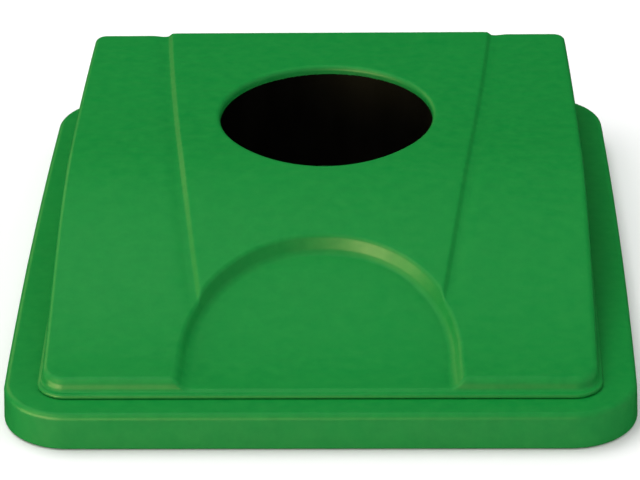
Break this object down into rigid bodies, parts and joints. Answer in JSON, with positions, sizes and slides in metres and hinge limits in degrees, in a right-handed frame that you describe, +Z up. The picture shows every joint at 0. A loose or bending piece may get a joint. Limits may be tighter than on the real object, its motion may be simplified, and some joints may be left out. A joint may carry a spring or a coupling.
{
  "type": "drop bin lid",
  "caption": "Green moulded plastic lid for a drop container: rim frame, rear-hinged wedge hood with round drop hole, raised panel and arched front hand recess, black throat collar.",
  "frame": {"origin": "under the middle of the lid, at the bottom edge of the rim skirt", "axes": "+X to the right seen from the front, +Y from the front lip to the hinged rear, +Z up"},
  "size_m": [0.4, 0.44, 0.079],
  "materials": {
    "green_plastic": "fine moulded grain, satin",
    "black_plastic": "satin",
    "zinc_steel": "zinc plated",
    "black_rubber": "matt"
  },
  "bodies": {
    "frame": {"rim_frame": "green_plastic", "bumper_pad_front_left": "black_rubber", "bumper_pad_front_right": "black_rubber", "bumper_pad_rear_left": "black_rubber", "bumper_pad_rear_right": "black_rubber"},
    "hood": {"hood": "green_plastic", "throat_collar": "black_plastic", "collar_screw_1": "zinc_steel", "collar_screw_2": "zinc_steel", "collar_screw_3": "zinc_steel", "collar_screw_4": "zinc_steel", "collar_screw_5": "zinc_steel", "collar_screw_6": "zinc_steel", "hinge_pin_left": "zinc_steel", "hinge_pin_right": "zinc_steel", "hinge_push_nut_left": "zinc_steel", "hinge_push_nut_right": "zinc_steel"}
  },
  "joints": [
    {"name": "hood_hinge", "type": "hinge", "parent": "frame", "child": "hood", "pos_m": [0, 0.208, 0.036], "axis": [-1, 0, 0], "range_deg": [0, 100]}
  ]
}
